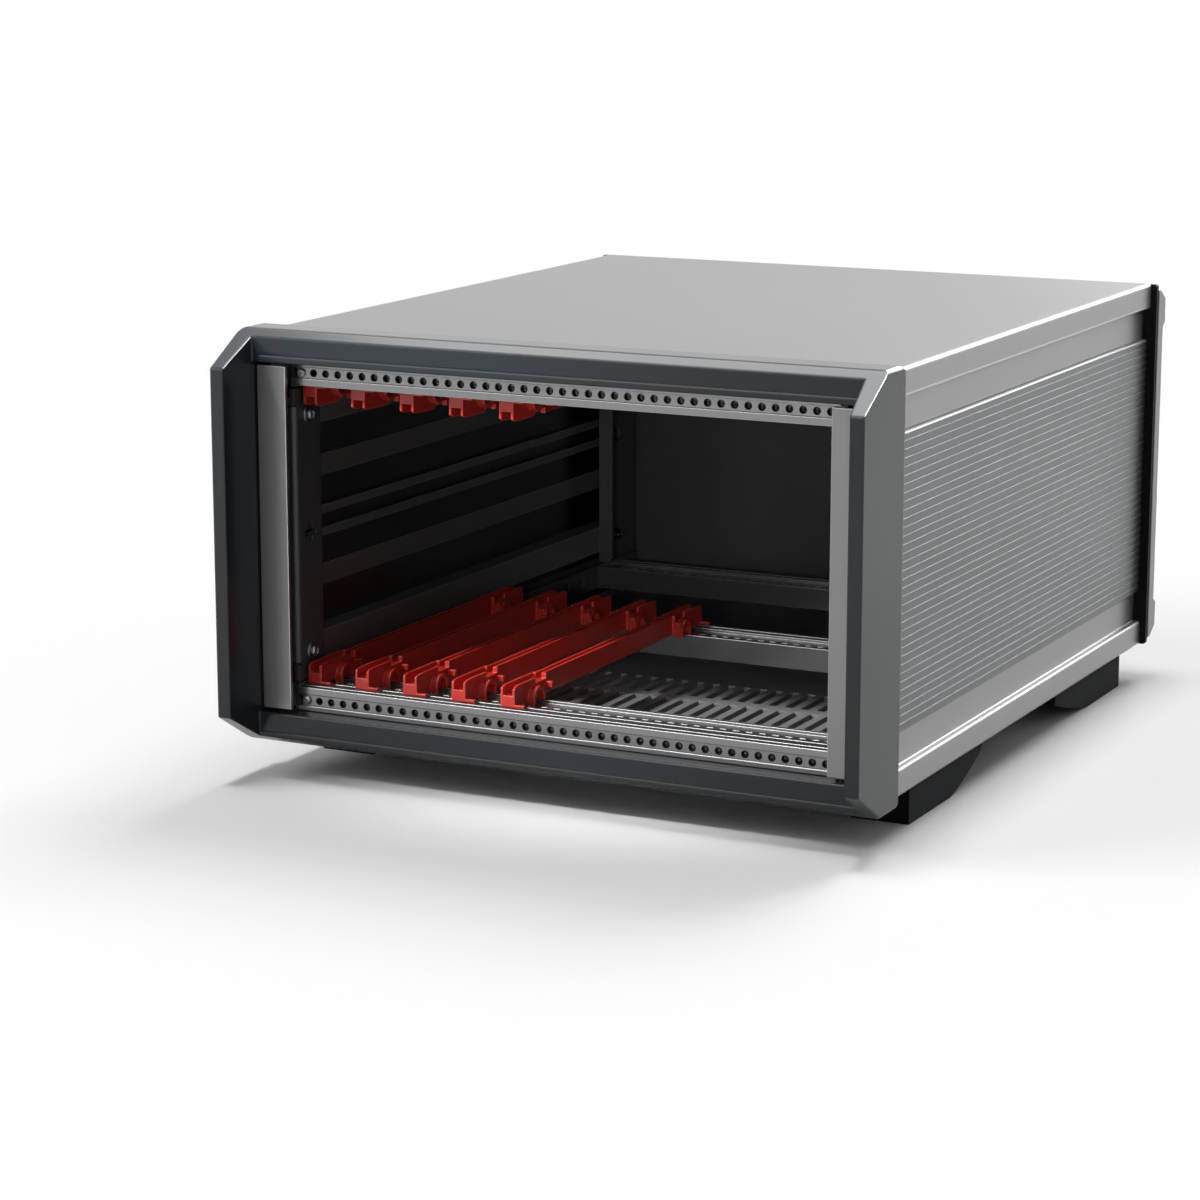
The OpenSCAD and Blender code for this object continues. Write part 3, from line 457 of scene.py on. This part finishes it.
# The rear sheet's darker tone is a painted shade
for name, node, shade, rough, metal, bump in (("satin cover sheet", "top_cover", 0.16, 0.305, 1.0, 0.003),
                                              ("vent sheet", "bottom_cover", 0.25, 0.42, 0.3, 0.012),
                                              ("rear sheet in painted shade", "rear_panel", 0.06, 0.5, 0.3, 0.012)):
    sheet = coat(name, dark=(shade - SHADE_DRIFT,) * 3, light=(shade + SHADE_DRIFT,) * 3,
                 smooth=rough - ROUGH_DRIFT, rough=rough + ROUGH_DRIFT, patch=50 * MM, ripple=0.4 * MM,
                 bump=bump, depth=0.01 * MM)[0]
    shader_of(sheet).inputs["Metallic"].default_value = metal
    dress(sheet, node)

# Rear spacer, rear frame and its screws
# A black plastic ring closes off the panel ends. Over it lies a flat aluminium frame, sprayed silver grey.
# A pan-head screw in each of the frame's four corner bumpers goes through both into the side panels.
SPACER_IOR = 1.2
REAR_SCREW_X, REAR_SCREW_Y, REAR_SCREW_Z = 116.5, 158.7, (27.8, 152.8)
REAR_SCREW = {"head_r": 3.1, "head_h": 2.4, "shank_r": 1.5, "shank_len": 19.0}

spacer = coat("black spacer plastic", dark=(0.003, 0.003, 0.0035), light=(0.006, 0.006, 0.0065),
              smooth=0.45, rough=0.6, patch=20 * MM, ripple=0.6 * MM, bump=0.15, depth=0.05 * MM)[0]
shader_of(spacer).inputs["IOR"].default_value = SPACER_IOR
dress(spacer, "rear_spacer")
rear_frame = drawn_metal("rear frame aluminium", lines=(2500, 2500, 2500), dull=0.15, bright=0.175,
                         smooth=0.3, rough=0.38, radius=0.5 * MM, edge_highlight=0.22)[0]
dress(rear_frame, "rear_frame")
rear_screws = [pan_screw((side * REAR_SCREW_X, REAR_SCREW_Y, z), (0, 1, 0), **REAR_SCREW)
               for side in (-1, 1) for z in REAR_SCREW_Z]
piece("rear_pan_screws", rear_screws, zinc, "fastener", "rear_frame_screws")

# Feet
# Four black mouldings with a fine grain and a long curved heel, under the corners of the bottom cover.
# Each is held by two pan-head screws that sit in counterbores of its sole.
FOOT_IOR = 1.13
FOOT_SCREW_X, FOOT_SCREW_Y, FOOT_SCREW_Z = 109.4, (-89.3, -66.3, 126.3, 103.3), 8.0
FOOT_SCREW = {"head_r": 3.5, "head_h": 2.2, "shank_r": 1.5, "shank_len": 10.0}

foot = coat("grained foot plastic", dark=(0.006, 0.007, 0.008), light=(0.010, 0.011, 0.013),
            smooth=0.55, rough=0.7, patch=15 * MM, ripple=0.5 * MM, bump=0.25, depth=0.06 * MM,
            radius=0.6 * MM)[0]
shader_of(foot).inputs["IOR"].default_value = FOOT_IOR
dress(foot, *(f"foot_{end}_{side}" for end in ("front", "rear") for side in ("left", "right")))
foot_screws = [pan_screw((side * FOOT_SCREW_X, y, FOOT_SCREW_Z), (0, 0, -1), **FOOT_SCREW)
               for side in (-1, 1) for y in FOOT_SCREW_Y]
piece("foot_pan_screws", foot_screws, zinc, "fastener", "foot_screws")

# Studio
# A wide pale floor renders just white in the open and keeps the shadow, inside a white surround. Three soft
# suns light the case, four softboxes show only as gloss, and three narrow spots light the cage.
SURROUND, SKY = 1.0, 0.30
FLOOR_R, FLOOR_BOUNCE = 14.0, (0.3, 0.3, 0.3)
CASE_MIDDLE, SPOT_BLEND = (0, 0, 0.08), 0.6
# Name, direction, strength and width in degrees
SUNS = (("overhead sun", (-0.08, -0.02, 1.0), 1.3, 12),
        ("back sun", (0.11, 0.58, 0.81), 1.5, 28),
        ("side sun", (-0.66, -0.48, 0.58), 0.9, 30))
# Name, place, width and depth, and power
SOFTBOXES = (("overhead box", (-0.09, 0.3, 2.0), (2.0, 1.8), 66),
             ("rim box", (0.3, 2.8, 1.25), (1.8, 0.7), 38),
             ("edge box", (0.92, 0.59, 1.19), (0.9, 0.9), 150),
             ("front box", (-0.57, -1.22, 0.86), (0.7, 0.7), 7))
# Name, place, aim, power, cone in degrees and radius of the lamp
SPOTS = (("cage spot", (-0.74, -1.02, 1.15), (0.0, -0.09, 0.058), 160, 6.8, 0.05),
         ("front spot", (-0.22, -1.4, 0.12), (0.0, 0.15, 0.05), 26, 6, 0.15),
         ("fill spot", (0.45, -1.3, 0.30), (-0.03, 0.0, 0.08), 18, 7, 0.05))


def lamp(name, kind, towards, aim, **settings):
    """A lamp whose light comes from the given direction or place, turned to a point of the case."""
    light = bpy.data.lights.new(name, kind)
    for key, value in settings.items():
        setattr(light, key, value)
    made = bpy.data.objects.new(name, light)
    made.location = towards
    made.rotation_euler = (Vector(towards) - Vector(aim)).to_track_quat("Z", "Y").to_euler()
    made.visible_camera = False
    bpy.context.scene.collection.objects.link(made)
    return made


world = bpy.data.worlds.new("studio")
world.use_nodes = True
bpy.context.scene.world = world
world.cycles.sampling_method = "NONE"
tree = world.node_tree
rays = put(tree, "LightPath").outputs
seen = reckon(tree, "MAXIMUM", rays["Is Camera Ray"], rays["Is Glossy Ray"])
seen = reckon(tree, "MAXIMUM", seen, rays["Is Transmission Ray"])
sky = tree.nodes["Background"]
sky.inputs["Color"].default_value = (1, 1, 1, 1)
tree.links.new(spread(tree, seen, SKY, SURROUND), sky.inputs["Strength"])

daylight = SKY
for name, towards, strength, wide in SUNS:
    lamp(name, "SUN", towards, (0, 0, 0), energy=strength, angle=radians(wide)).visible_glossy = False
    daylight += strength * Vector(towards).normalized().z / pi
for name, towards, (wide, deep), power in SOFTBOXES:
    box = lamp(name, "AREA", towards, CASE_MIDDLE, energy=power, shape="RECTANGLE", size=wide, size_y=deep)
    box.visible_diffuse = False
    box.data.cycles.max_bounces = 0
for name, towards, aim, power, cone, soft in SPOTS:
    lamp(name, "SPOT", towards, aim, energy=power, spot_size=radians(cone), spot_blend=SPOT_BLEND,
         shadow_soft_size=soft).visible_glossy = False

# The floor's colour just reaches white in this light, and it throws less of it back at the case
ground = bpy.data.materials.new("pale floor")
ground.use_nodes = True
tree, shader = ground.node_tree, shader_of(ground)
shader.inputs["Roughness"].default_value = 1.0
shader.inputs["Specular IOR Level"].default_value = 0.0
bounced = put(tree, "LightPath").outputs["Is Diffuse Ray"]
tree.links.new(tint(tree, bounced, (1 / daylight,) * 3, FLOOR_BOUNCE), shader.inputs["Base Color"])
mesh = bpy.data.meshes.new("floor")
corners = [(FLOOR_R * x, FLOOR_R * y, 0) for x, y in ((-1, -1), (1, -1), (1, 1), (-1, 1))]
mesh.from_pydata(corners, [], [(0, 1, 2, 3)])
mesh.materials.append(ground)
floor = bpy.data.objects.new("floor", mesh)
bpy.context.scene.collection.objects.link(floor)

# Camera
# It stands to the right of the front and a little above, where the photograph was taken from.
# The lens, the place and both angles were worked out from the two rows of tapped holes.
SENSOR, LENS, NEAREST, FARTHEST = 36, 101.38, 0.01, 100
CAMERA_PLACE, LOOKS_DOWN, LOOKS_LEFT = (0.53943, -1.17732, 0.32629), 12.013, 26.653

camera = bpy.data.objects.new("camera", bpy.data.cameras.new("camera"))
camera.data.sensor_width, camera.data.lens = SENSOR, LENS
camera.data.clip_start, camera.data.clip_end = NEAREST, FARTHEST
camera.location = CAMERA_PLACE
camera.rotation_euler = (radians(90 - LOOKS_DOWN), 0, radians(LOOKS_LEFT))
bpy.context.scene.collection.objects.link(camera)
bpy.context.scene.camera = camera
bpy.context.scene.view_settings.view_transform = "Standard"
